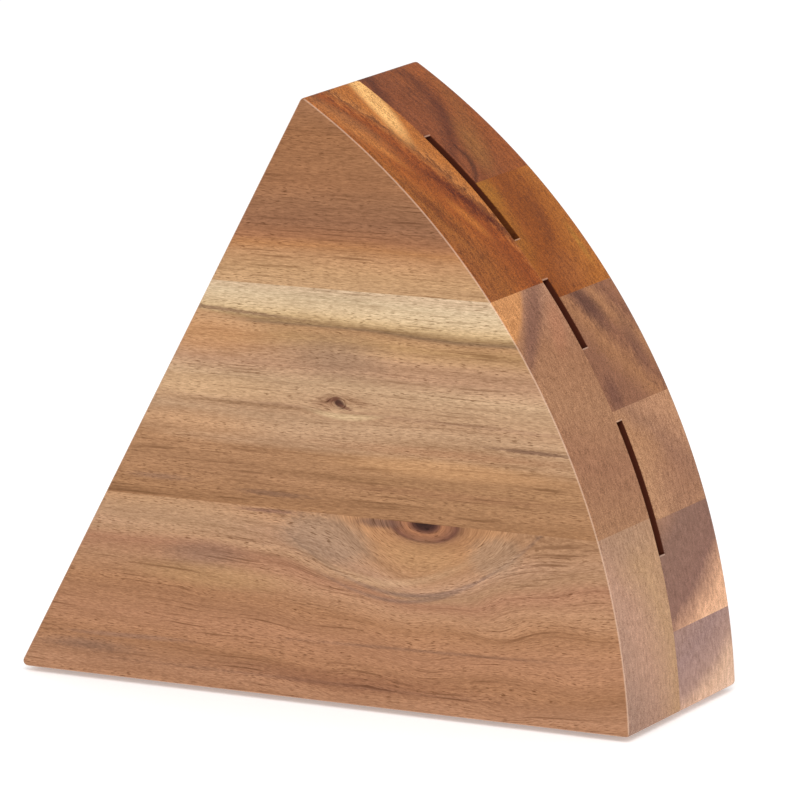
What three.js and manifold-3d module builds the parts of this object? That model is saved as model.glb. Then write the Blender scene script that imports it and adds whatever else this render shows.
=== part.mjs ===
// Knife block of glued acacia boards: a circular sector standing on one straight edge,
// with three knife slots opening on its curved face. Millimetres, +Z up.
// +X runs along the base towards the curved face, and Y runs through the thickness.
// The block is two panels glued face to face: three wide boards on the -Y side and six
// narrow staves on the +Y side, with the slots routed into the staves' glued face.
import * as THREE from 'three';
import * as BufferGeometryUtils from 'three/addons/utils/BufferGeometryUtils.js';
import Module from 'manifold-3d';

// ---- driving dimensions ----
const RADIUS = 270;                // base length, and the radius of the curved face
const SECTOR_ANGLE = 58.5;         // degrees between the base and the sloping back
const BOARD_PANEL = 38;            // thickness of the panel of wide boards
const STAVE_PANEL = 43;            // thickness of the panel of staves
const CORNER_RADIUS = 2.4;         // rounding of the outline's three corners
const EDGE_EASE = 1.6;             // rounding of the two side faces' rims
const BOARD_SEAMS = [73, 158.5];   // heights of the glue lines between the wide boards
const FIRST_STAVE = 30.6;          // height of the trimmed bottom stave
const STAVE_PITCH = 40.6;          // height of a full stave
const STAVES = 6;
const SLOT_THICKNESS = 3.6;
const SLOT_END_RADIUS = 6;         // corner rounding at a slot's blind end
const SLOTS = [                    // angle up from the base, in degrees
  { angle: 18.1, width: 51.5, depth: 150 },
  { angle: 33, width: 29, depth: 70 },
  { angle: 45.5, width: 51.5, depth: 150 },
];
const FOOT_RADIUS = 6;
const FOOT_HEIGHT = 2;
const FOOT_SIDE_INSET = 17;        // from a side face to a foot's centre
const FOOT_BACK_INSET = 32;        // from the back corner
const FOOT_FRONT_INSET = 20;       // from the curved face

// ---- how fine the facets are ----
const ARC_STEPS = 48;
const CORNER_STEPS = 4;
const EASE_STEPS = 3;
const FOOT_SIDES = 32;

// ---- worked out from the above ----
const THICKNESS = BOARD_PANEL + STAVE_PANEL;
const ANGLE = THREE.MathUtils.degToRad(SECTOR_ANGLE);
const QUARTER_TURN = Math.PI / 2;
const TOP = RADIUS;                // above the block's own highest point
const CLEARANCE = 10;              // how far a cutting shape reaches past the block

const wasm = await Module();
wasm.setup();

// A closed geometry as a solid that can be cut.
function toSolid(geometry) {
  const bare = geometry.clone();
  bare.deleteAttribute('normal');
  bare.deleteAttribute('uv');
  const merged = BufferGeometryUtils.mergeVertices(bare, 1e-4);
  return new wasm.Manifold(new wasm.Mesh({
    numProp: 3,
    vertProperties: new Float32Array(merged.attributes.position.array),
    triVerts: new Uint32Array(merged.index.array),
  }));
}

// A cut solid back to a geometry.
function toGeometry(solid) {
  const mesh = solid.getMesh();
  const geometry = new THREE.BufferGeometry();
  geometry.setAttribute('position', new THREE.BufferAttribute(mesh.vertProperties, 3));
  geometry.setIndex(new THREE.BufferAttribute(mesh.triVerts, 1));
  geometry.computeVertexNormals();
  return geometry;
}

// Turns a shape drawn flat and extruded towards the viewer so that it stands upright,
// with the start of its extrusion at the given Y and its end further along +Y.
function standUp(geometry, startY, depth) {
  return geometry.rotateX(QUARTER_TURN).translate(0, startY + depth, 0);
}

// The sector's outline, with its back corner at the origin and three rounded corners.
function sectorOutline() {
  const inner = RADIUS - CORNER_RADIUS;
  const tipDistance = CORNER_RADIUS / Math.sin(ANGLE / 2);
  const tip = new THREE.Vector2(tipDistance * Math.cos(ANGLE / 2), CORNER_RADIUS);
  const blend = Math.asin(CORNER_RADIUS / inner);
  const low = new THREE.Vector2(inner * Math.cos(blend), CORNER_RADIUS);
  const high = new THREE.Vector2(Math.cos(ANGLE - blend), Math.sin(ANGLE - blend));
  high.multiplyScalar(inner);
  const points = [];
  const arc = (centre, radius, from, to, steps) => {
    for (let i = 0; i <= steps; i += 1) {
      const a = from + (to - from) * (i / steps);
      points.push(new THREE.Vector2(
        centre.x + radius * Math.cos(a),
        centre.y + radius * Math.sin(a),
      ));
    }
  };
  arc(low, CORNER_RADIUS, -QUARTER_TURN, blend, CORNER_STEPS);
  points.pop();
  arc(new THREE.Vector2(), RADIUS, blend, ANGLE - blend, ARC_STEPS);
  points.pop();
  arc(high, CORNER_RADIUS, ANGLE - blend, ANGLE + QUARTER_TURN, CORNER_STEPS);
  arc(tip, CORNER_RADIUS, ANGLE + QUARTER_TURN, 2 * Math.PI - QUARTER_TURN, CORNER_STEPS);
  return new THREE.Shape(points);
}

// The whole block before it is divided into boards.
function blockSolid() {
  const geometry = new THREE.ExtrudeGeometry(sectorOutline(), {
    depth: THICKNESS - 2 * EDGE_EASE,
    bevelEnabled: true,
    bevelThickness: EDGE_EASE,
    bevelSize: EDGE_EASE,
    bevelOffset: -EDGE_EASE,
    bevelSegments: EASE_STEPS,
  });
  return toSolid(standUp(geometry, EDGE_EASE, THICKNESS - 2 * EDGE_EASE));
}

// The part of space between two heights and two Y planes, longer than the block.
function slab(lowZ, highZ, lowY, highY) {
  const length = RADIUS + 2 * CLEARANCE;
  const geometry = new THREE.BoxGeometry(length, highY - lowY, highZ - lowZ);
  geometry.translate(length / 2 - CLEARANCE, (lowY + highY) / 2, (lowZ + highZ) / 2);
  return toSolid(geometry);
}

// The space that a slot takes: a flat pocket from the curved face towards the back corner.
function slotSolid({ angle, width, depth }) {
  const bottom = RADIUS - depth;
  const mouth = RADIUS + CLEARANCE;
  const half = width / 2;
  const r = SLOT_END_RADIUS;
  const pocket = new THREE.Shape();
  pocket.moveTo(mouth, -half);
  pocket.lineTo(mouth, half);
  pocket.lineTo(bottom + r, half);
  pocket.absarc(bottom + r, half - r, r, QUARTER_TURN, Math.PI);
  pocket.absarc(bottom + r, r - half, r, Math.PI, 3 * QUARTER_TURN);
  const geometry = new THREE.ExtrudeGeometry(pocket, {
    depth: SLOT_THICKNESS,
    bevelEnabled: false,
    curveSegments: CORNER_STEPS,
  });
  geometry.rotateZ(THREE.MathUtils.degToRad(angle));
  return toSolid(standUp(geometry, BOARD_PANEL, SLOT_THICKNESS));
}

function wood(color) {
  return new THREE.MeshStandardMaterial({ color, roughness: 0.5, metalness: 0 });
}

function namedMesh(name, geometry, material) {
  const mesh = new THREE.Mesh(geometry, material);
  mesh.name = name;
  return mesh;
}

const block = new THREE.Group();
block.position.z = FOOT_HEIGHT;
const whole = blockSolid();

// ---- the panel of wide boards ----
const BOARDS = [
  { name: 'side_board_lower', color: 0xab7a50 },
  { name: 'side_board_middle', color: 0xb08560 },
  { name: 'side_board_upper', color: 0x8a5a38 },
];
const boardHeights = [0, ...BOARD_SEAMS, TOP];
BOARDS.forEach(({ name, color }, i) => {
  const piece = whole.intersect(slab(boardHeights[i], boardHeights[i + 1], 0, BOARD_PANEL));
  block.add(namedMesh(name, toGeometry(piece), wood(color)));
});

// ---- the panel of staves, with the slots routed into it ----
const STAVE_COLORS = [0x9c6f56, 0xa77f60, 0xb98d62, 0x8d6347, 0xa2683a, 0x7e4a26];
const slotTools = SLOTS.map(slotSolid);
for (let i = 0; i < STAVES; i += 1) {
  const low = i === 0 ? 0 : FIRST_STAVE + STAVE_PITCH * (i - 1);
  const high = i === STAVES - 1 ? TOP : FIRST_STAVE + STAVE_PITCH * i;
  let piece = whole.intersect(slab(low, high, BOARD_PANEL, THICKNESS));
  for (const tool of slotTools) piece = piece.subtract(tool);
  block.add(namedMesh(`slotted_stave_${i + 1}`, toGeometry(piece), wood(STAVE_COLORS[i])));
}

// ---- the feet ----
const rubber = new THREE.MeshStandardMaterial({ color: 0x1c1b1a, roughness: 0.8, metalness: 0 });
const FEET = [
  { name: 'foot_back_board_side', x: FOOT_BACK_INSET, y: FOOT_SIDE_INSET },
  { name: 'foot_back_stave_side', x: FOOT_BACK_INSET, y: THICKNESS - FOOT_SIDE_INSET },
  { name: 'foot_front_board_side', x: RADIUS - FOOT_FRONT_INSET, y: FOOT_SIDE_INSET },
  { name: 'foot_front_stave_side', x: RADIUS - FOOT_FRONT_INSET, y: THICKNESS - FOOT_SIDE_INSET },
];
for (const { name, x, y } of FEET) {
  const shape = new THREE.CylinderGeometry(FOOT_RADIUS, FOOT_RADIUS, FOOT_HEIGHT, FOOT_SIDES);
  shape.rotateX(QUARTER_TURN);
  const foot = namedMesh(name, shape, rubber.clone());
  foot.position.set(x, y, -FOOT_HEIGHT / 2);
  block.add(foot);
}

// The origin is the middle of the block's footprint, on the surface that it stands on.
const extent = new THREE.Box3().setFromObject(block);
const middle = extent.getCenter(new THREE.Vector3());
block.position.x = -middle.x;
block.position.y = -middle.y;

export default block;
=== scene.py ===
"""Knife block of glued acacia boards, on a pale floor under soft studio light.

The nine boards of the block are shaped by one Geometry Nodes tree: each is a slice of a
circular sector, with the block's outer rims rounded. Their wood is solid: grain, pores
and knots are worked out from the place in the block, so they run on round every edge.
"""

import math

import bpy
from mathutils import Matrix, Vector


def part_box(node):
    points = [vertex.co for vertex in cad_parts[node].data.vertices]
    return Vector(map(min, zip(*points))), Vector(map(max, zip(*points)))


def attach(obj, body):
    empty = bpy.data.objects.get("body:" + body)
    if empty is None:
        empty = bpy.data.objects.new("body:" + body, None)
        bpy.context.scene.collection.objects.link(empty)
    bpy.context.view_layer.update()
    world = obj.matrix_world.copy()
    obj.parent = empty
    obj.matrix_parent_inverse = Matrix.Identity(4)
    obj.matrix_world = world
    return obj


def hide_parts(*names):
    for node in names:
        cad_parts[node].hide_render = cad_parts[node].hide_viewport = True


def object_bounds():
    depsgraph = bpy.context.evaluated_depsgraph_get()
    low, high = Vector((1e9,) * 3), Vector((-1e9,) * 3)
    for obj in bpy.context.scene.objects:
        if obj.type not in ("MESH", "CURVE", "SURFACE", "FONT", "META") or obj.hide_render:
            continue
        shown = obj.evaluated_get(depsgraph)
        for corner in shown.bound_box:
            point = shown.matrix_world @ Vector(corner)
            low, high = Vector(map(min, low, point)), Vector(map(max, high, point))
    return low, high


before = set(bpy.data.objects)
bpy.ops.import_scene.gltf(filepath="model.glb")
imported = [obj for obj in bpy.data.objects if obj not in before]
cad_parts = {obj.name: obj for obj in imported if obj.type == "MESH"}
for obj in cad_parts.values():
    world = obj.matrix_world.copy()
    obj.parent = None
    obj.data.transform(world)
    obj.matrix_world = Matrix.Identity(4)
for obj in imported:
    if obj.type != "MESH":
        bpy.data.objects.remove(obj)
CAD_LOW, CAD_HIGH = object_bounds()

# ---- sizes in metres, the block's overall ones from the frame ----
MM = 0.001
BACK_SLOPE = math.radians(58.5)      # from the base up to the sloping back
CORNER_RADIUS = 2.4 * MM             # of the frame's outline
OUTLINE_ROUNDING = 2.0 * MM          # of the three corners seen from the side
NEAR_RIM_ROUNDING = 1.1 * MM         # of the edges round the boards' side face
FAR_RIM_ROUNDING = 2.0 * MM          # of the edges round the staves' side face
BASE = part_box("side_board_lower")[0].z
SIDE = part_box("side_board_lower")[0].y
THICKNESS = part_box("slotted_stave_1")[1].y - SIDE
GLUE_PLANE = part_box("side_board_lower")[1].y - SIDE
LENGTH = CAD_HIGH.x - CAD_LOW.x
RADIUS = LENGTH + CORNER_RADIUS * (1 / math.tan(BACK_SLOPE / 2) - 1)
CORNER = Vector((CAD_HIGH.x - RADIUS, SIDE, BASE))    # where the base meets the back
APEX = RADIUS * math.sin(BACK_SLOPE)

BOARDS = ["side_board_lower", "side_board_middle", "side_board_upper"]
STAVES = [f"slotted_stave_{i}" for i in range(1, 7)]
FEET = [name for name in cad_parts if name.startswith("foot_")]

# The slots open on the curved face and run towards the back corner.
SLOT_THICKNESS = 4.2 * MM
SLOT_LIP = 0.20 * MM                 # chamfer round the mouth
SLOT_END_LIP = 0.5 * MM              # a worn edge, paler, past each end of a mouth
SLOT_UNDERCUT = 1 * MM               # how far a cutter reaches past the glue plane
# The last column lightens the painted shade on a slot's walls towards its low end.
SLOTS = [                            # angle above the base, width, depth, paler low end
    (math.radians(18.1), 51.5 * MM, 150 * MM, 0.0),
    (math.radians(33.0), 29.0 * MM, 70 * MM, 0.0),
    (math.radians(45.5), 51.5 * MM, 150 * MM, 0.3),
]


# ---- writing node trees ----

class Value:
    """An output of a node. Arithmetic on it adds Math nodes to the same tree."""

    def __init__(self, tree, socket):
        self.tree = tree
        self.socket = socket

    def math(self, operation, *others):
        return calculate(self.tree, operation, self, *others)

    def __add__(self, other):
        return self.math("ADD", other)

    def __sub__(self, other):
        return self.math("SUBTRACT", other)

    def __rsub__(self, other):
        return calculate(self.tree, "SUBTRACT", other, self)

    def __mul__(self, other):
        return self.math("MULTIPLY", other)

    def __truediv__(self, other):
        return self.math("DIVIDE", other)

    def at_least(self, other):
        return self.math("MAXIMUM", other)

    def at_most(self, other):
        return self.math("MINIMUM", other)

    def above(self, other):
        return self.math("GREATER_THAN", other)

    def squared(self):
        return self.math("MULTIPLY", self)

    def root(self):
        return self.math("SQRT")

    def fade(self, start, end):
        """0 at start, 1 at end, smooth between them."""
        return add(self.tree, "ShaderNodeMapRange", {
            "Value": self, "From Min": start, "From Max": end,
        }, interpolation_type="SMOOTHSTEP")

    def mix(self, low, high):
        """low where this is 0, high where it is 1."""
        return (high - low) * self + low

    def away(self):
        """How far this is from 0, on either side."""
        return self.math("ABSOLUTE")

    __rmul__ = __mul__


def put(tree, socket, value):
    """Links a node output to a socket, or sets the socket to a plain value."""
    if isinstance(value, Value):
        tree.links.new(value.socket, socket)
    else:
        socket.default_value = value


def add(tree, kind, inputs=(), output=0, **settings):
    """Adds a node, fills its inputs by name or number and gives back one of its outputs."""
    node = tree.nodes.new(kind)
    for name, value in settings.items():
        setattr(node, name, value)
    for key, value in dict(inputs).items():
        put(tree, node.inputs[key], value)
    return Value(tree, node.outputs[output])


def calculate(tree, operation, *values):
    """A Math node's result."""
    return add(tree, "ShaderNodeMath", enumerate(values), operation=operation)


def other_output(value, name):
    """Another output of the node that a Value comes from."""
    return Value(value.tree, value.socket.node.outputs[name])


def split(vector):
    x = add(vector.tree, "ShaderNodeSeparateXYZ", {0: vector})
    return x, other_output(x, "Y"), other_output(x, "Z")


def join(tree, x, y, z):
    return add(tree, "ShaderNodeCombineXYZ", {0: x, 1: y, 2: z})


def new_tree(name, kind, inputs, outputs):
    """A node tree with named sockets, and its inputs as a dictionary of Values."""
    tree = bpy.data.node_groups.new(name, kind)
    for label, socket_type in inputs.items():
        tree.interface.new_socket(label, in_out="INPUT", socket_type=socket_type)
    for label, socket_type in outputs.items():
        tree.interface.new_socket(label, in_out="OUTPUT", socket_type=socket_type)
    source = tree.nodes.new("NodeGroupInput")
    given = {label: Value(tree, source.outputs[label]) for label in inputs}
    return tree, given


def close_tree(tree, results):
    """Links a tree's results to its named outputs."""
    sink = tree.nodes.new("NodeGroupOutput")
    for label, value in results.items():
        put(tree, sink.inputs[label], value)
    return tree


def group_output(tree, group, inputs, output=0):
    """Places a node group in a tree and gives back one of its outputs."""
    kind = "GeometryNodeGroup" if tree.type == "GEOMETRY" else "ShaderNodeGroup"
    node = tree.nodes.new(kind)
    node.node_tree = group
    for key, value in inputs.items():
        put(tree, node.inputs[key], value)
    return Value(tree, node.outputs[output])


# ---- shapes ----

FLOAT, VECTOR, COLOR = "NodeSocketFloat", "NodeSocketVector", "NodeSocketColor"
GEOMETRY, MATERIAL = "NodeSocketGeometry", "NodeSocketMaterial"

RIM_SHARE = 0.16                     # share of a board's rows that lie in each rim
BOARD_ROWS = {"Vertices X": 45, "Vertices Y": 33, "Vertices Z": 69}
CUTTER_ROWS = {"Vertices X": 2, "Vertices Y": 2, "Vertices Z": 33}
CUTTER_REACH = 8                     # past the curved face, in chamfer sizes
SEAM = 2e-6                          # points closer than this become one
TINY = 1e-7                          # keeps a division clear of zero
SHARP_ANGLE = math.radians(35)       # an edge that turns more than this stays sharp


def rim_spacing_tree():
    """Spreads rows along a length so that they lie closest together at both ends."""
    tree, given = new_tree(
        "rim spacing", "GeometryNodeTree",
        {"Fraction": FLOAT, "Length": FLOAT, "Rim": FLOAT}, {"Distance": FLOAT},
    )
    fraction = given["Fraction"]
    length = given["Length"]
    rim = given["Rim"].at_most(length * RIM_SHARE)
    folded = fraction.at_most(1 - fraction)
    in_rim = (folded.at_most(RIM_SHARE) / RIM_SHARE).squared()
    past_rim = (folded - RIM_SHARE).at_least(0) / (0.5 - RIM_SHARE)
    distance = in_rim * rim + past_rim * (length / 2 - rim)
    far_half = fraction.above(0.5)
    return close_tree(tree, {"Distance": far_half.mix(distance, length - distance)})


def spread(tree, spacing, fraction, length, rim):
    """The distance along a length of the row at this fraction of it."""
    return group_output(tree, spacing, {"Fraction": fraction, "Length": length, "Rim": rim})


def sector_board_tree(spacing):
    """A slice of the block between two heights and two distances from its side face.

    The slice is first a sharp one. Seen from the side, a point near the outline is measured
    from the core, the outline drawn in by its corner rounding, and is set at that distance
    from it, which rounds the corners. The rims of the side faces are then rounded off.
    """
    tree, given = new_tree("sector board", "GeometryNodeTree", {
        "Radius": FLOAT, "Back Slope": FLOAT, "Block Thickness": FLOAT,
        "Outline Rounding": FLOAT, "Near Rim Rounding": FLOAT, "Far Rim Rounding": FLOAT,
        "Low Height": FLOAT, "High Height": FLOAT, "Low Side": FLOAT, "High Side": FLOAT,
        "Corner": VECTOR, "Material": MATERIAL,
    }, {"Geometry": GEOMETRY})
    radius, slope = given["Radius"], given["Back Slope"]
    r, thickness = given["Outline Rounding"], given["Block Thickness"]
    grid = add(tree, "GeometryNodeMeshCube", {"Size": (1, 1, 1), **BOARD_ROWS})
    u, v, w = split(add(tree, "GeometryNodeInputPosition"))
    low, high = given["Low Height"], given["High Height"]
    near, far = given["Low Side"], given["High Side"]

    # the sharp slice, with rows close together to twice the rounding in from each face
    close_rows = r * 2
    z = low + spread(tree, spacing, w + 0.5, high - low, close_rows)
    y = near + spread(tree, spacing, v + 0.5, far - near, close_rows)
    is_far = y.above(thickness / 2)
    rim = is_far.mix(given["Near Rim Rounding"], given["Far Rim Rounding"])
    back = z / slope.math("TANGENT")
    front = (radius.squared() - z.squared()).at_least(0).root()
    x = back + spread(tree, spacing, u + 0.5, (front - back).at_least(0), close_rows)

    # how far the point is out of the core
    sine, cosine = slope.math("SINE"), slope.math("COSINE")
    reach = (x.squared() + z.squared()).root()
    inner = radius - r
    past_arc = reach - inner
    past_back = r - (x * sine - z * cosine)
    past_base = r - z
    depth = past_arc.at_least(past_back).at_least(past_base).at_least(0)

    # the nearest point of the core, and the way out from it
    shrink = (inner / reach.at_least(TINY)).at_most(1)
    arc_x, arc_z = x * shrink, z * shrink
    tip_x = r / (slope / 2).math("TANGENT")
    along = ((arc_x - tip_x) * cosine + (arc_z - r) * sine).at_least(0)
    is_back, is_base = past_back.above(0), past_base.above(0)
    back_x = is_back.mix(arc_x, tip_x + along * cosine)
    back_z = is_back.mix(arc_z, r + along * sine)
    core_x = is_base.mix(back_x, arc_x.at_least(tip_x))
    core_z = is_base.mix(back_z, r)
    step_x, step_z = x - core_x, z - core_z
    gap = (step_x.squared() + step_z.squared()).root().at_least(TINY)

    # the rims of the two side faces
    in_rim = (depth - (r - rim)).at_least(0)
    in_side = (rim - y).at_least(y - (thickness - rim)).at_least(0)
    corner = (in_rim.squared() + in_side.squared()).root().at_least(TINY)
    is_rim = in_rim.at_most(in_side).above(0)
    pull = is_rim.mix(1, in_rim.at_least(in_side) / corner)
    out = depth.at_most(r - rim) + in_rim * pull
    core_y = y.at_least(rim).at_most(thickness - rim)
    place = join(
        tree,
        core_x + step_x / gap * out,
        core_y + (y - core_y) * pull,
        core_z + step_z / gap * out,
    )
    place = add(tree, "ShaderNodeVectorMath", {0: place, 1: given["Corner"]}, operation="ADD")

    moved = add(tree, "GeometryNodeSetPosition", {"Geometry": grid, "Position": place})
    merged = add(tree, "GeometryNodeMergeByDistance", {"Geometry": moved, "Distance": SEAM})
    real = add(tree, "GeometryNodeRealizeInstances", {"Geometry": merged})
    done = add(tree, "GeometryNodeSetMaterial", {"Geometry": real, "Material": given["Material"]})
    return close_tree(tree, {"Geometry": done})


def slot_cutter_tree():
    """A part of one knife slot's space.

    It is the flat pocket where Flare is 0, and the chamfer round its mouth where Flare is 1.
    """
    tree, given = new_tree("slot cutter", "GeometryNodeTree", {
        "Radius": FLOAT, "Angle": FLOAT, "Width": FLOAT, "Depth": FLOAT, "Thickness": FLOAT,
        "Glue Plane": FLOAT, "Undercut": FLOAT, "Lip": FLOAT, "Flare": FLOAT,
        "Corner": VECTOR, "Material": MATERIAL,
    }, {"Geometry": GEOMETRY})
    radius, angle, lip = given["Radius"], given["Angle"], given["Lip"]
    grid = add(tree, "GeometryNodeMeshCube", {"Size": (1, 1, 1), **CUTTER_ROWS})
    u, v, w = split(add(tree, "GeometryNodeInputPosition"))
    outer = u.above(0)
    flare = given["Flare"]

    # the pocket: parallel sides, from past the curved face down to its blind end
    pocket_out = outer.mix(radius - given["Depth"], radius + lip * CUTTER_REACH)
    pocket_up = w * given["Width"]
    pocket_y = v.above(0).mix(given["Glue Plane"] - given["Undercut"],
                              given["Glue Plane"] + given["Thickness"])

    # the chamfer: follows the curved face and widens outwards
    grow = outer.mix(0, lip * 2)
    mouth_out = outer.mix(radius - lip, radius + lip)
    mouth_angle = w * 2 * ((given["Width"] / 2 + grow) / radius).math("ARCSINE")
    mouth_y = v.above(0).mix(given["Glue Plane"] - grow,
                             given["Glue Plane"] + given["Thickness"] + grow)

    turn = angle + flare * mouth_angle
    out = flare.mix(pocket_out, mouth_out)
    up = (1 - flare) * pocket_up
    y = flare.mix(pocket_y, mouth_y)
    x = out * turn.math("COSINE") - up * turn.math("SINE")
    z = out * turn.math("SINE") + up * turn.math("COSINE")
    place = join(tree, x, y, z)
    place = add(tree, "ShaderNodeVectorMath", {0: place, 1: given["Corner"]}, operation="ADD")
    moved = add(tree, "GeometryNodeSetPosition", {"Geometry": grid, "Position": place})
    real = add(tree, "GeometryNodeRealizeInstances", {"Geometry": moved})
    done = add(tree, "GeometryNodeSetMaterial", {"Geometry": real, "Material": given["Material"]})
    return close_tree(tree, {"Geometry": done})


def frozen(obj):
    """Takes an object's modifiers into its mesh, and gives the object back."""
    graph = bpy.context.evaluated_depsgraph_get()
    mesh = bpy.data.meshes.new_from_object(obj.evaluated_get(graph))
    mesh.name = obj.name
    obj.modifiers.clear()
    obj.data = mesh
    return obj


def grown(name, tree, values):
    """A new object whose mesh is made by a Geometry Nodes tree with these inputs."""
    obj = bpy.data.objects.new(name, bpy.data.meshes.new(name))
    bpy.context.scene.collection.objects.link(obj)
    modifier = obj.modifiers.new("shape", "NODES")
    modifier.node_group = tree
    for item in tree.interface.items_tree:
        if item.in_out == "INPUT" and item.name in values:
            modifier[item.identifier] = values[item.name]
    return frozen(obj)


def cut_by(obj, cutters, material):
    """Cuts the cutters out of a piece, whose cut faces get its material too."""
    for cutter in cutters:
        modifier = obj.modifiers.new("cut", "BOOLEAN")
        modifier.operation = "DIFFERENCE"
        modifier.solver = "EXACT"
        modifier.object = cutter
    frozen(obj)
    obj.data.materials.clear()
    obj.data.materials.append(material)
    for face in obj.data.polygons:
        face.material_index = 0
    return obj


def smooth(obj):
    obj.data.shade_smooth()
    obj.data.set_sharp_from_angle(angle=SHARP_ANGLE)


# ---- looks ----

def color(text):
    """A colour written as six hexadecimal digits, made linear."""
    parts = [int(text[i:i + 2], 16) / 255 for i in (0, 2, 4)]
    return (*[p / 12.92 if p <= 0.04045 else ((p + 0.055) / 1.055) ** 2.4 for p in parts], 1)


DARK_TINT = (0.50, 0.43, 0.36, 1)    # multiplies the wood's own colour in dark grain
LIGHT_TINT = (1.50, 1.57, 1.64, 1)   # and in light grain
# the pale colour of the outer edges and of the worn slot ends: wear, and on the rims also a
# painted highlight
WORN_EDGE_AND_HIGHLIGHT = color("ffdcc4")
# the slot walls' colour: charred wood, darkened further as painted shade of the narrow slots
SLOT_WALL_CHAR_AND_SHADE = color("5a2c1e")
LIP_STRENGTH = 0.7                   # of the pale edge past each end of a slot
RIM_WEAR_AND_HIGHLIGHT_STRENGTH = 0.7                   # of the pale outer edges
WOOD_SPECULAR = 0.13
WOOD_BUMP = {"Strength": 0.25, "Distance": 0.0002}
RUBBER_BUMP = {"Strength": 0.3, "Distance": 0.0001}
END_PORES = 0.4                      # strength of the pores in the end grain


def noise(tree, vector, scale, detail=2.0, roughness=0.5):
    """Noise from 0 to 1 around a middle of 0.5. scale is a vector: one over the size."""
    scaled = add(tree, "ShaderNodeVectorMath", {0: vector, 1: scale}, operation="MULTIPLY")
    return add(tree, "ShaderNodeTexNoise", {
        "Vector": scaled, "Scale": 1.0, "Detail": detail, "Roughness": roughness,
    })


def blend(tree, factor, a, b, mode="MIX"):
    """Colour a where the factor is 0, and b, or a changed by b, where it is 1."""
    node = tree.nodes.new("ShaderNodeMix")
    node.data_type = "RGBA"
    node.blend_type = mode
    put(tree, node.inputs[0], factor)
    put(tree, node.inputs[6], a)
    put(tree, node.inputs[7], b)
    return Value(tree, node.outputs[2])


def ramp(tree, factor, stops):
    """A colour from a list of (position, colour), with positions from 0 to 1."""
    node = tree.nodes.new("ShaderNodeValToRGB")
    elements = node.color_ramp.elements
    while len(elements) < len(stops):
        elements.new(0.5)
    for element, (position, _) in zip(elements, stops):
        element.position = position
    for element, (_, text) in zip(elements, stops):
        element.color = color(text)
    put(tree, node.inputs[0], factor)
    return Value(tree, node.outputs[0])


def block_place_tree():
    """Where a point of the wood is in the block, in millimetres.

    Masks say whether it is on end grain, on a pale edge, which is wear and a painted highlight,
    or on a slot's wall, which is char and painted shade.
    """
    tree, given = new_tree("block place", "ShaderNodeTree", {"Position": VECTOR}, {
        "Place": VECTOR, "End Grain": FLOAT, "Rim": FLOAT, "Slot Wall Char And Shade": FLOAT,
    })
    shifted = add(tree, "ShaderNodeVectorMath", {
        0: given["Position"], 1: tuple(CORNER),
    }, operation="SUBTRACT")
    place = add(tree, "ShaderNodeVectorMath", {
        0: shifted, 1: (1 / MM, 1 / MM, 1 / MM),
    }, operation="MULTIPLY")
    x, y, z = split(place)
    arc = RADIUS / MM - (x.squared() + z.squared()).root()
    back = x * math.sin(BACK_SLOPE) - z * math.cos(BACK_SLOPE)
    side = y.at_most(THICKNESS / MM - y)
    end = arc.at_most(back)
    long_grain = side.at_most(z)
    end_mask = (long_grain - end).fade(-0.3, 0.3)

    # an outer rim: near two faces at once, paled as wear and as a painted highlight
    second = end.at_most(long_grain).at_least(end.at_least(long_grain).at_most(side.at_least(z)))
    rim = second.fade(0.75, 0.25)

    # the walls of the slots, below their mouths, dark as char and painted shade, and the worn
    # pale edge past each mouth's ends
    past_gap = (y - (GLUE_PLANE + SLOT_THICKNESS / 2) / MM).away() - SLOT_THICKNESS / MM / 2
    wall_shades, lips = 0, 0
    for angle, width, depth, pale in SLOTS:
        across = z * math.cos(angle) - x * math.sin(angle)
        past_width = across.away() - width / MM / 2
        in_depth = (arc - depth / MM).fade(0.5, 0.3)
        # the painted shade on the walls lightens towards a slot's low end
        strength = (across / (width / MM)).fade(0.0, -0.45) * -pale + 1
        wall_shades = past_width.fade(0.3, 0.2) * in_depth * strength + wall_shades
        lips = (past_width - SLOT_END_LIP / MM / 2).away().fade(SLOT_END_LIP / MM, 0.1) + lips
    # painted shade: the walls are dark from half a millimetre inside the mouth
    wall_shade = wall_shades * past_gap.fade(0.3, 0.2) * arc.fade(0.05, 0.5)
    lip = lips * LIP_STRENGTH * past_gap.fade(0.0, -0.3) * arc.fade(0.6, 0.3)
    return close_tree(tree, {
        "Place": place, "End Grain": end_mask, "Rim": rim.at_least(lip), "Slot Wall Char And Shade": wall_shade,
    })


def grain_tree():
    """Noises stretched along X, from the slow waves of the layers down to the pores."""
    tree, given = new_tree("grain", "ShaderNodeTree", {
        "Place": VECTOR, "Seed": FLOAT,
    }, {"Streaks": FLOAT, "Lines": FLOAT, "Fibres": FLOAT, "Flecks": FLOAT, "Pores": FLOAT,
        "Wave": FLOAT, "Clouds": FLOAT})
    shift = join(tree, given["Seed"] * 531, given["Seed"] * 97, given["Seed"] * 61)
    place = add(tree, "ShaderNodeVectorMath", {0: given["Place"], 1: shift}, operation="ADD")
    wave = noise(tree, place, (0.010, 0.02, 0.02), detail=1.0) - 0.5
    clouds = noise(tree, place, (0.02, 0.06, 0.06), detail=3.0)
    streaks = noise(tree, place, (0.012, 0.22, 0.22), detail=4.0, roughness=0.6)
    strands = noise(tree, place, (0.03, 1.10, 1.10), detail=2.0, roughness=0.6)
    lines = strands.fade(0.54, 0.70) * clouds.fade(0.35, 0.62)
    fibres = noise(tree, place, (0.32, 2.3, 2.3), detail=2.0, roughness=0.8)
    flecks = noise(tree, place, (0.10, 0.75, 0.30), detail=4.0, roughness=0.7)
    specks = noise(tree, place, (0.30, 3.0, 3.0), detail=1.0)
    pores = specks.fade(0.57, 0.68) * streaks.fade(0.38, 0.60)
    return close_tree(tree, {
        "Streaks": streaks, "Lines": lines, "Fibres": fibres, "Flecks": flecks,
        "Pores": pores, "Wave": wave, "Clouds": clouds,
    })


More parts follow.
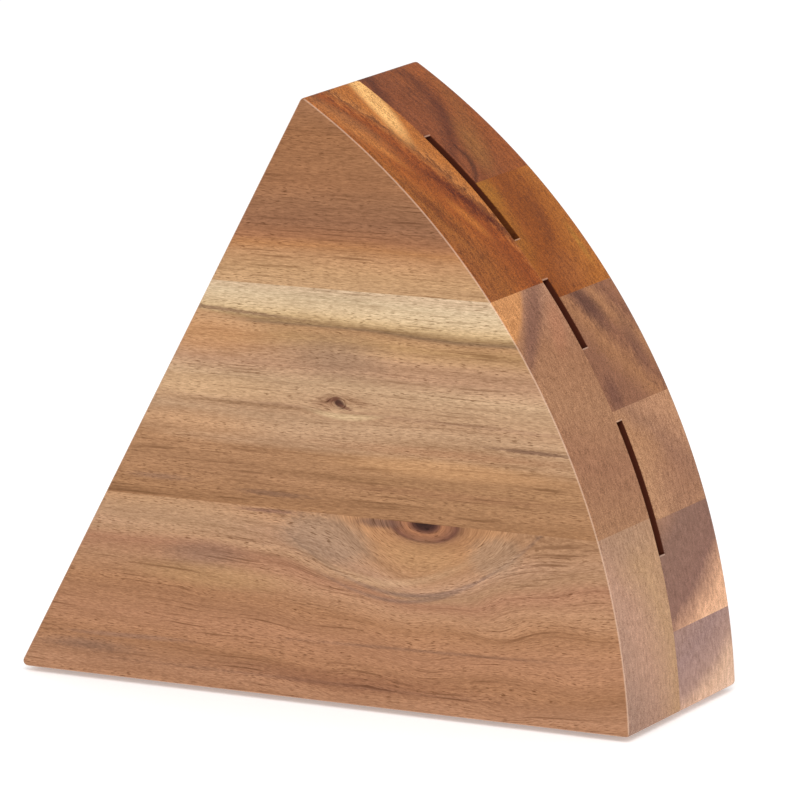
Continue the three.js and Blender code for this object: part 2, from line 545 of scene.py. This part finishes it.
def stain_tree():
    """A soft patch or streak of another colour in the wood, as a mask.

    It is an ellipse round a centre, which leans and bows as it runs along.
    """
    tree, given = new_tree("stain", "ShaderNodeTree", {
        "Across": FLOAT, "Along": FLOAT, "Centre Across": FLOAT, "Centre Along": FLOAT,
        "Half Width": FLOAT, "Half Length": FLOAT, "Lean": FLOAT, "Bow": FLOAT,
        "Softness": FLOAT, "Noise": FLOAT, "Raggedness": FLOAT, "Strength": FLOAT,
    }, {"Mask": FLOAT})
    along = given["Along"] - given["Centre Along"]
    middle = given["Centre Across"] + along * (along * given["Bow"] + given["Lean"])
    across = (given["Across"] - middle) / given["Half Width"]
    length = along / given["Half Length"]
    distance = (across.squared() + length.squared()).root()
    ragged = distance + (given["Noise"] - 0.5) * given["Raggedness"]
    soft = given["Softness"]
    return close_tree(tree, {"Mask": ragged.fade(soft + 1, 1 - soft) * given["Strength"]})


def finish_tree():
    """Puts streaks, lines, fibres, pores, pale edges (wear and painted highlight) and slot walls
    (char and painted shade) on the wood's colour.
    """
    tree, given = new_tree("wood finish", "ShaderNodeTree", {
        "Base Color": COLOR, "Streaks": FLOAT, "Lines": FLOAT, "Fibres": FLOAT,
        "Pores": FLOAT, "Rim": FLOAT, "Slot Wall Char And Shade": FLOAT,
        "Streak Strength": FLOAT, "Line Strength": FLOAT, "Fibre Strength": FLOAT,
        "Pore Strength": FLOAT, "Rim Wear And Highlight Strength": FLOAT,
    }, {"Color": COLOR, "Roughness": FLOAT, "Height": FLOAT})
    tone = ((given["Streaks"] - 0.5) * given["Streak Strength"]
            + (given["Fibres"] - 0.5) * given["Fibre Strength"] + 0.5)
    dark = blend(tree, 1.0, given["Base Color"], DARK_TINT, "MULTIPLY")
    light = blend(tree, 1.0, given["Base Color"], LIGHT_TINT, "MULTIPLY")
    toned = blend(tree, tone, dark, light)
    pore = given["Pores"] * given["Pore Strength"]
    marks = (pore + given["Lines"] * given["Line Strength"]).at_most(1)
    pitted = blend(tree, marks, toned, dark)
    # pale edges: wear, and a painted highlight along the rims
    pale = blend(tree, 0.5, toned, WORN_EDGE_AND_HIGHLIGHT)
    worn_and_highlit = blend(tree, given["Rim"] * given["Rim Wear And Highlight Strength"], pitted, pale)
    # slot walls: char, and painted shade inside the slots
    shaded_walls = blend(tree, given["Slot Wall Char And Shade"], worn_and_highlit, SLOT_WALL_CHAR_AND_SHADE)
    rough = (given["Fibres"] - 0.5) * 0.3 + pore * 0.2 + 0.5
    height = given["Fibres"] * 0.5 - marks
    return close_tree(tree, {"Color": shaded_walls, "Roughness": rough, "Height": height})


def knot_tree():
    """A knot: the layers bow round it, and inside its reach they close into rings."""
    tree, given = new_tree("knot", "ShaderNodeTree", {
        "Place": VECTOR, "Along": FLOAT, "Height": FLOAT, "Stretch": FLOAT, "Reach": FLOAT,
    }, {"Place": VECTOR, "Distance": FLOAT})
    x, y, z = split(given["Place"])
    across = (x - given["Along"]) / given["Stretch"]
    up = z - given["Height"]
    wobble = (noise(tree, given["Place"], (0.03, 0.03, 0.06), detail=0.0) - 0.5) * 0.5
    reach = given["Reach"]
    distance = (across.squared() + up.squared()).root() * (wobble + 1)
    outside = up * (1 - reach.squared() / distance.squared().at_least(0.01))
    inside = reach - distance
    bent = given["Height"] + inside.above(0).mix(outside, inside)
    return close_tree(tree, {"Place": join(tree, x, y, bent), "Distance": distance})


PLACE_TREE = block_place_tree()
GRAIN_TREE = grain_tree()
STAIN_TREE = stain_tree()
FINISH_TREE = finish_tree()
KNOT_TREE = knot_tree()


def banded(tree, distance, bands):
    """Colours by a distance in millimetres, from a list of (distance, colour)."""
    low, high = bands[0][0], bands[-1][0]
    stops = [((at - low) / (high - low), text) for at, text in bands]
    return ramp(tree, (distance - low) / (high - low), stops)


def stained(tree, base, across, along, ragged, stains):
    """The base colour with a list of stains on it, each one over those before it."""
    for text, centre, size, lean, bow, soft, raggedness, strength in stains:
        mask = group_output(tree, STAIN_TREE, {
            "Across": across, "Along": along, "Noise": ragged,
            "Centre Across": centre[0], "Centre Along": centre[1],
            "Half Width": size[0], "Half Length": size[1], "Lean": lean, "Bow": bow,
            "Softness": soft, "Raggedness": raggedness, "Strength": strength,
        })
        base = blend(tree, mask, base, color(text))
    return base


def wood(name, seed, side_bands, pith, rings, side_stains=(), end_stains=(), knots=(),
         wave=6.0, ripple=3.0, end_wave=10.0, end_ripple=5.0,
         streak=0.85, line=0.8, fibre=1.25, pore=0.95, end_streak=1.2, end_fibre=2.3,
         lean=0.0, bow=0.0):
    """A board's material, for solid wood whose grain runs along X.

    side_bands colour its long faces by height, and rings its end grain by the distance
    from the pith, which lies at (y, z) in the block or outside it. A stain is (colour,
    centre, half size, lean, bow, softness, raggedness, strength), with its centre and size
    given across and then along: (z, x) on a long face and (y, z) on the end grain. A knot
    is (x, z, stretch, reach). Places and sizes are in millimetres.

    wave and ripple are how far, in millimetres, the bands of a long face wander, slowly and
    finely, and end_wave and end_ripple are the same for the rings. The bands also lean and
    bow as they run along. streak, line, fibre and pore are the strengths of the grain.
    """
    material = bpy.data.materials.new(name)
    material.use_nodes = True
    tree = material.node_tree
    shader = tree.nodes["Principled BSDF"]
    position = add(tree, "ShaderNodeTexCoord", output="Object")
    place = group_output(tree, PLACE_TREE, {"Position": position}, "Place")
    x, y, z = split(place)
    bent = place
    calm = 1                         # 0 inside the knots, which have no lines
    for along, height, stretch, reach in knots:
        bent = group_output(tree, KNOT_TREE, {
            "Place": bent, "Along": along, "Height": height, "Stretch": stretch, "Reach": reach,
        }, "Place")
        calm = other_output(bent, "Distance").fade(reach * 0.9, reach * 1.6) * calm
    streaks = group_output(tree, GRAIN_TREE, {"Place": bent, "Seed": seed}, "Streaks")
    waves, clouds = other_output(streaks, "Wave"), other_output(streaks, "Clouds")
    fibres, flecks = other_output(streaks, "Fibres"), other_output(streaks, "Flecks")
    end_grain = other_output(place, "End Grain")
    from_middle = x - RADIUS / MM / 2
    slant = from_middle * (from_middle * bow + lean)
    height = split(bent)[2] + waves * wave + (streaks - 0.5) * ripple + slant
    side = banded(tree, height, side_bands)
    side = stained(tree, side, z, x, (streaks + fibres) / 2, side_stains)

    radius = ((y - pith[0]).squared() + (z - pith[1]).squared()).root()
    end = banded(tree, radius + (clouds - 0.5) * end_wave + (flecks - 0.5) * end_ripple, rings)
    end = stained(tree, end, y, z, (flecks + fibres) / 2, end_stains)

    finish = group_output(tree, FINISH_TREE, {
        "Base Color": blend(tree, end_grain, side, end),
        "Streaks": end_grain.mix(streaks, flecks), "Fibres": fibres,
        "Lines": other_output(streaks, "Lines") * (1 - end_grain) * calm,
        "Pores": other_output(streaks, "Pores"), "Rim": other_output(place, "Rim"),
        "Slot Wall Char And Shade": other_output(place, "Slot Wall Char And Shade"),
        "Streak Strength": end_grain.mix(streak, end_streak),
        "Fibre Strength": end_grain.mix(fibre, end_fibre),
        "Pore Strength": end_grain.mix(pore, pore * END_PORES),
        "Line Strength": line, "Rim Wear And Highlight Strength": RIM_WEAR_AND_HIGHLIGHT_STRENGTH,
    }, "Color")
    put(tree, shader.inputs["Base Color"], finish)
    put(tree, shader.inputs["Roughness"], other_output(finish, "Roughness"))
    bump = add(tree, "ShaderNodeBump", {"Height": other_output(finish, "Height"), **WOOD_BUMP})
    put(tree, shader.inputs["Normal"], bump)
    shader.inputs["Specular IOR Level"].default_value = WOOD_SPECULAR
    return material


def rubber():
    """Matte black rubber with a fine moulded grain."""
    material = bpy.data.materials.new("foot rubber")
    material.use_nodes = True
    tree = material.node_tree
    shader = tree.nodes["Principled BSDF"]
    position = add(tree, "ShaderNodeTexCoord", output="Object")
    grit = noise(tree, position, (3000, 3000, 3000), detail=2.0)
    put(tree, shader.inputs["Base Color"], blend(tree, grit, color("161514"), color("2b2a28")))
    put(tree, shader.inputs["Roughness"], grit * 0.2 + 0.65)
    bump = add(tree, "ShaderNodeBump", {"Height": grit, **RUBBER_BUMP})
    put(tree, shader.inputs["Normal"], bump)
    return material


# The colours are set to look right under this scene's light.
WOODS = {
    "side_board_lower": wood(
        "lower board wood", 1,
        [(0, "a57655"), (8, "b08161"), (18, "a37452"), (30, "af7e5d"), (42, "a67754"),
         (50, "b28563"), (57, "ac7c5e"), (61, "af8665"), (66, "b88e70"), (73, "b38662"),
         (79, "b6855d"), (84, "b07f58"), (86, "986b4c"), (86.9, "674033"), (87.8, "8a5c44"),
         (90.3, "9f6b4a"), (91.2, "674031"), (92, "3e221b"), (94, "2e1711")],
        (-60, 10),
        [(60, "a6816d"), (80, "b48a71"), (97, "b48c68"), (118, "b08666")],
        knots=[(186, 73, 1.8, 21)],
        side_stains=[
            ("b5906c", (67, 72), (6.0, 40), 0, 0, 0.6, 1.4, 0.55),
            ("926f5b", (52.5, 88), (4.5, 15), 0.05, 0, 0.7, 1.6, 0.6),
            ("8e6b58", (17, 52), (1.0, 26), 0.02, 0, 0.7, 2.6, 0.6),
            ("87624c", (7.5, 130), (0.7, 60), 0, 0, 0.7, 3.4, 0.6),
            ("87624c", (24, 175), (0.6, 50), 0.02, 0, 0.7, 3.4, 0.6),
            ("ba9164", (44, 92), (4, 28), 0, 0, 0.7, 1.4, 0.5),
            ("80604e", (12, 32), (2.2, 19), 0, 0, 0.8, 2.6, 0.65),
            ("8c5c44", (9, 150), (3.5, 46), 0, 0, 0.8, 3.0, 0.5),
            ("a17754", (68, 248), (8, 24), 0, 0, 0.6, 1.3, 0.5),
            ("825c4e", (71.8, 118), (0.8, 12), 0, 0, 0.7, 2.6, 0.7),
            ("826658", (45.6, 186), (0.8, 44), 0.157, 0.0078, 0.9, 3.0, 0.7),
            ("826658", (42.8, 180), (0.7, 32), 0.13, 0.0078, 0.9, 3.0, 0.6),
            ("c8a17d", (48.6, 168), (1.3, 30), 0.02, 0.0080, 0.9, 2.0, 0.6),
            ("9d8069", (63.5, 143), (8.5, 19), -0.1, 0, 0.35, 1.2, 0.65),
            ("775646", (71.5, 166), (1.8, 9), 0, 0, 0.6, 1.5, 0.8),
            ("a5856a", (63, 216), (7, 11), 0.1, 0, 0.35, 1.2, 0.6),
            ("b3895f", (60, 184), (5.5, 16), 0, 0.004, 0.6, 1.3, 0.5),
        ],
        end_stains=[
            ("896c5e", (10, 3), (16, 14), 0, 0, 0.7, 1.2, 0.3),
            ("9c7761", (10, 70), (22, 8), 0, 0, 0.7, 1.0, 0.55),
        ],
        line=0.9, end_fibre=1.6,
    ),
    "side_board_middle": wood(
        "middle board wood", 2,
        [(73, "a07450"), (84, "a57956"), (94, "aa7e5a"), (97, "b48d6c"), (108, "b69170"),
         (111.5, "b28b6a"), (112.5, "a88264"), (113.5, "b99371"), (122, "bb9876"),
         (128, "b48b6c"), (134, "b28968"), (139, "b68d62"), (143.2, "ae845d"),
         (144.2, "88694c"), (145.2, "a3815a"), (147.5, "c5a479"), (151, "ceb18b"),
         (155, "d1b794"), (158.5, "caac8b")],
        (60, 240),
        [(84, "ab7c5f"), (96, "a47457"), (110, "9e6e4e"), (130, "a47655"), (150, "9a6b4e"),
         (178, "a27553")],
        knots=[(151, 115.5, 1.6, 2.2)],
        lean=0.03, bow=-0.0002,
        side_stains=[
            ("bc9069", (143.0, 76), (5.2, 44), -0.04, 0, 0.25, 1.0, 0.95),
            ("8a6a50", (148.0, 94), (0.8, 38), -0.045, 0, 0.6, 1.8, 0.85),
            ("c58e5f", (137, 92), (6, 26), 0, 0, 0.6, 1.3, 0.5),
            ("91735b", (133, 152), (7, 17), 0, 0, 0.8, 1.4, 0.55),
            ("bc8c63", (103, 82), (4.5, 32), 0, 0, 0.6, 1.4, 0.5),
            ("cca57c", (117.5, 88), (4.5, 34), 0, 0, 0.6, 1.4, 0.55),
            ("8c6851", (81, 69), (1.2, 13), 0, 0, 0.7, 2.6, 0.7),
            ("86624b", (78.6, 120), (0.9, 13), 0, 0, 0.7, 3.2, 0.75),
            ("a47a54", (90, 208), (12, 62), 0, 0, 0.6, 1.2, 0.55),
            ("c49468", (94, 196), (3.2, 40), 0, 0, 0.6, 1.3, 0.75),
            ("775643", (103.8, 236), (0.7, 17), -0.02, 0, 0.7, 2.8, 0.8),
            ("a57756", (100, 196), (1.7, 44), 0, 0, 0.7, 1.8, 0.6),
            ("9e7050", (84.2, 196), (1.6, 38), 0, 0, 0.7, 1.8, 0.5),
            ("d5b58d", (110.6, 153), (1.1, 13), -0.02, 0.006, 0.7, 1.8, 0.9),
            ("8c6348", (115.6, 146.5), (2.2, 6.0), 0.10, 0, 0.7, 1.8, 0.7),
            ("836041", (112.2, 112), (0.6, 28), -0.01, 0, 0.9, 2.0, 0.6),
            ("40221a", (115.7, 151.4), (1.8, 2.5), -0.35, 0, 0.45, 1.5, 0.95),
            ("6d4331", (116.9, 148.8), (0.9, 3.2), 0.3, 0, 0.6, 2.8, 0.8),
            ("6d4331", (114.2, 154.0), (0.7, 2.8), -0.3, 0, 0.6, 2.8, 0.75),
            ("966c4e", (116.6, 159), (1.6, 6), -0.1, 0, 0.7, 2.0, 0.5),
        ],
        end_stains=[
            ("ce8e56", (6, 158), (15, 16), 0.9, 0, 0.15, 0.6, 0.85),
            ("7f5645", (20, 150), (6, 12), 1.2, 0, 0.6, 1.2, 0.8),
            ("7f5645", (6, 140), (4, 8), 1.2, 0, 0.7, 1.2, 0.6),
            ("af7656", (30, 144), (5, 8), 0.6, 0, 0.6, 1.0, 0.6),
        ],
    ),
    "side_board_upper": wood(
        "upper board wood", 3,
        [(158.5, "be966e"), (164, "bc9269"), (170, "b78860"), (173.5, "ae794e"),
         (176.5, "a06d4b"), (182, "906346"), (190, "946748"), (197, "996947"),
         (206, "9a6a47"), (216, "946441"), (232, "9d6e4d")],
        (-158, 130),
        [(160, "915227"), (175, "975824"), (184, "9a511d"), (192, "884217"), (196, "944a19"),
         (198.5, "a8622d"), (200, "764220"), (201.5, "b36f37"), (205, "b16a2e"),
         (215, "ad6328")],
        end_stains=[
            ("f2b770", (33, 223.5), (5.0, 12), 0.42, 0, 0.45, 2.0, 0.95),
            ("571d08", (29.5, 188), (3.0, 13), -0.62, 0, 0.8, 3.0, 0.85),
            ("692f10", (8.5, 187), (2.5, 12), -0.4, 0, 0.7, 2.0, 0.6),
            ("734225", (9, 221), (3, 8), -0.6, 0, 0.7, 1.6, 0.5),
            ("87491f", (14, 168), (14, 10), -0.3, 0, 0.6, 1.0, 0.4),
            ("c0722e", (22, 184), (2.6, 7), -0.5, 0, 0.6, 2.8, 0.6),
            ("c27633", (8, 213), (2.0, 9), -0.5, 0, 0.6, 2.6, 0.6),
            ("b97740", (5, 222), (6, 13), -0.5, 0, 0.7, 1.8, 0.5),
        ],
        end_wave=8.0, end_ripple=12.0, end_fibre=3.1, end_streak=1.8,
    ),
    "slotted_stave_1": wood(
        "stave one wood", 4, [(0, "ba8f76"), (14, "aa826e"), (31, "a17c6e")],
        (7, 126),
        [(98, "9c796b"), (114, "9b7a71"), (125, "a98576"), (133, "d2a98c"), (146, "e6bfa3")],
        streak=1.4, line=0.8, pore=0.4, end_wave=8.0, end_fibre=1.5,
    ),
    "slotted_stave_2": wood(
        "stave two wood", 5, [(30, "b48468"), (50, "a1755a"), (71.5, "976b54")],
        (-6, 161),
        [(98, "a2755a"), (112, "866252"), (133, "886152"), (140, "b8896c"),
         (146, "dda883"), (157, "e2b08b")],
        streak=1.4, line=0.8, pore=0.4, end_wave=8.0, end_fibre=1.6,
    ),
    "slotted_stave_3": wood(
        "stave three wood", 6, [(71, "a37455"), (92, "ae7e58"), (112, "b2835d")],
        (-42, -9),
        [(110, "ab7d5c"), (128, "b2835f"), (142, "ad7d59"), (150, "9c7054"), (158, "b28261"),
         (173, "b4835f")],
        end_stains=[("91644d", (66, 80), (14, 16), 0, 0, 0.8, 1.2, 0.6)],
        streak=1.4, line=0.8, pore=0.4,
    ),
    "slotted_stave_4": wood(
        "stave four wood", 7, [(112, "956545"), (130, "86573c"), (153, "8e5e42")],
        (190, 230),
        [(120, "8c5d42"), (134, "9c6849"), (142, "875942"), (150, "a7744f"), (158, "895a42"),
         (166, "a06e4a"), (176, "8b5d44")],
        end_stains=[
            ("603c30", (56, 147), (5, 8), -0.4, 0, 0.7, 1.8, 0.85),
            ("694236", (44, 117), (4, 6), 0, 0, 0.7, 1.5, 0.6),
            ("744c3b", (72, 131), (4, 9), 0, 0, 0.8, 1.5, 0.6),
        ],
        streak=1.4, end_ripple=14.0,
    ),
    "slotted_stave_5": wood(
        "stave five wood", 8, [(152, "90531f"), (172, "94561f"), (193, "98581d")],
        (-20, 200),
        [(58, "9f611f"), (66, "995a1d"), (74, "8c4917"), (82, "854414"), (90, "95511b"),
         (98, "a35f24"), (108, "a96427")],
        end_stains=[
            ("733917", (63, 177), (3.2, 9), 0.5, 0, 0.8, 1.8, 0.6),
            ("b37b31", (74.5, 166), (1.5, 6), 0, 0, 0.8, 1.6, 0.6),
            ("9e6521", (44, 189), (5, 5), 0, 0, 0.7, 1.5, 0.5),
            ("98582c", (58, 158), (9, 7), 0, 0, 0.8, 1.0, 0.5),
        ],
        streak=1.4, pore=0.4, end_fibre=2.7, end_streak=1.5,
    ),
    "slotted_stave_6": wood(
        "stave six wood", 9, [(193, "804325"), (210, "793d22"), (232, "793d22")],
        (34, 206),
        [(6, "7b4020"), (14, "864827"), (20, "824524"), (26, "844726"), (36, "8f4d24"),
         (54, "975025")],
        end_stains=[
            ("5c2b19", (62, 216), (3.8, 17), 0.8, -0.045, 1.0, 1.8, 0.8),
            ("6e3a22", (54, 214), (1.0, 12), 0.8, -0.045, 0.9, 2.2, 0.5),
            ("552615", (42, 227), (3.6, 7), 0.6, 0, 0.8, 1.6, 0.7),
            ("4a2212", (49.5, 198.5), (1.6, 6), 0.7, -0.12, 0.7, 1.5, 0.7),
            ("986430", (60, 203), (6, 8), 0.5, 0, 0.7, 1.8, 0.55),
            ("8c542a", (73, 215), (4, 12), 0.6, 0, 0.7, 1.4, 0.5),
        ],
        streak=1.4, end_ripple=9.0, end_fibre=2.6, end_streak=1.6,
    ),
}

# ---- the wooden pieces ----
SPACING = rim_spacing_tree()
BOARD_TREE = sector_board_tree(SPACING)
CUTTER_TREE = slot_cutter_tree()


def slot_cutters(flares):
    """Cutters for all the slots: their pockets for a flare of 0, their chamfers for 1."""
    cutters = []
    for number, (angle, width, depth, _) in enumerate(SLOTS):
        for flare in flares:
            cutters.append(grown(f"cutter_{number}_{flare:.0f}", CUTTER_TREE, {
                "Radius": RADIUS, "Angle": angle, "Width": width, "Depth": depth,
                "Thickness": SLOT_THICKNESS, "Glue Plane": GLUE_PLANE, "Undercut": SLOT_UNDERCUT,
                "Lip": SLOT_LIP, "Flare": flare, "Corner": CORNER,
            }))
    return cutters


def add_board(node, cutters):
    """A board or stave in the place of its CAD node, with the slots cut out of it."""
    low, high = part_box(node)
    is_top = node in (BOARDS[-1], STAVES[-1])
    piece = grown(f"{node}_wood", BOARD_TREE, {
        "Radius": RADIUS, "Back Slope": BACK_SLOPE, "Block Thickness": THICKNESS,
        "Outline Rounding": OUTLINE_ROUNDING,
        "Near Rim Rounding": NEAR_RIM_ROUNDING, "Far Rim Rounding": FAR_RIM_ROUNDING,
        "Low Height": low.z - BASE,
        "High Height": APEX if is_top else high.z - BASE,
        "Low Side": low.y - SIDE, "High Side": high.y - SIDE,
        "Corner": CORNER, "Material": WOODS[node],
    })
    piece = cut_by(piece, cutters, WOODS[node])
    smooth(piece)
    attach(piece, "root")
    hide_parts(node)
    return piece


# The slots lie in the staves, so the boards lose only the chamfers round the mouths.
STAVE_CUTTERS = slot_cutters(flares=(0.0, 1.0))
BOARD_CUTTERS = slot_cutters(flares=(1.0,))
for node in BOARDS:
    add_board(node, BOARD_CUTTERS)
for node in STAVES:
    add_board(node, STAVE_CUTTERS)
for cutter in STAVE_CUTTERS + BOARD_CUTTERS:
    bpy.data.objects.remove(cutter)

# ---- the feet ----
FOOT_RUBBER = rubber()
for node in FEET:
    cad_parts[node].data.materials.clear()
    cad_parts[node].data.materials.append(FOOT_RUBBER)

# ---- floor, light and camera ----
FLOOR_SIZE = 14.0
FLOOR_COLOR = (0.94, 0.94, 0.94, 1)
FLOOR_ROUGHNESS = 0.9
FLOOR_GLOW = 0.30                    # a lit sweep, so that the paper is evenly white
WHITE = (1, 1, 1, 1)
WORLD_LIGHT = 0.75
CAMERA_AZIMUTH = math.radians(32.17)
CAMERA_ELEVATION = math.radians(12.68)
CAMERA_ROLL = math.radians(-2.55)
CAMERA_PLACE = Vector((5.563, -7.796, 2.513))         # from the back corner, in radii
CAMERA_SENSOR = 36.0                 # millimetres, as the lens is
CAMERA_LENS = 312.4
CAMERA_SIGHT = 50.0                  # how far it sees


def add_floor():
    """A square of pale paper that the block stands on."""
    half = FLOOR_SIZE / 2
    mesh = bpy.data.meshes.new("floor")
    mesh.from_pydata([(-half, -half, 0), (half, -half, 0), (half, half, 0), (-half, half, 0)],
                     [], [(0, 1, 2, 3)])
    floor = bpy.data.objects.new("floor", mesh)
    bpy.context.scene.collection.objects.link(floor)
    material = bpy.data.materials.new("floor paper")
    material.use_nodes = True
    shader = material.node_tree.nodes["Principled BSDF"]
    shader.inputs["Base Color"].default_value = FLOOR_COLOR
    shader.inputs["Roughness"].default_value = FLOOR_ROUGHNESS
    shader.inputs["Specular IOR Level"].default_value = 0.0
    shader.inputs["Emission Color"].default_value = WHITE
    shader.inputs["Emission Strength"].default_value = FLOOR_GLOW
    mesh.materials.append(material)


def compass(azimuth, elevation):
    """The direction from the block towards an azimuth, which is 0 at its near side."""
    level = math.cos(elevation)
    return Vector((
        math.sin(azimuth) * level, -math.cos(azimuth) * level, math.sin(elevation),
    ))


def add_softbox(name, azimuth, elevation, distance, size, power):
    """A square area light that faces the block from a compass direction, in degrees."""
    aim = Vector((0, 0, (CAD_LOW.z + CAD_HIGH.z) / 2))
    away = compass(math.radians(azimuth), math.radians(elevation))
    data = bpy.data.lights.new(name, "AREA")
    data.shape = "SQUARE"
    data.size = size
    data.energy = power
    light = bpy.data.objects.new(name, data)
    light.location = aim + away * distance
    light.rotation_euler = (-away).to_track_quat("-Z", "Y").to_euler()
    bpy.context.scene.collection.objects.link(light)


def add_world(strength):
    """Even white light from all round."""
    world = bpy.data.worlds.new("studio")
    world.use_nodes = True
    background = world.node_tree.nodes["Background"]
    background.inputs["Color"].default_value = WHITE
    background.inputs["Strength"].default_value = strength
    bpy.context.scene.world = world


def add_camera():
    """A long lens that sees the block's near side and, at a slant, its curved face."""
    data = bpy.data.cameras.new("camera")
    data.sensor_width = CAMERA_SENSOR
    data.lens = CAMERA_LENS
    data.clip_end = CAMERA_SIGHT
    forward = -compass(CAMERA_AZIMUTH, CAMERA_ELEVATION)
    right = forward.cross(Vector((0, 0, 1))).normalized()
    up = right.cross(forward)
    rolled_right = right * math.cos(CAMERA_ROLL) + up * math.sin(CAMERA_ROLL)
    rolled_up = up * math.cos(CAMERA_ROLL) - right * math.sin(CAMERA_ROLL)
    place = CORNER + CAMERA_PLACE * RADIUS
    turn = Matrix((rolled_right, rolled_up, -forward)).transposed().to_4x4()
    camera = bpy.data.objects.new("camera", data)
    camera.matrix_world = Matrix.Translation(place) @ turn
    bpy.context.scene.collection.objects.link(camera)
    bpy.context.scene.camera = camera


add_floor()
add_world(WORLD_LIGHT)
add_softbox("key softbox", azimuth=40, elevation=48, distance=1.6, size=0.9, power=9)
add_camera()
bpy.context.scene.view_settings.view_transform = "Standard"
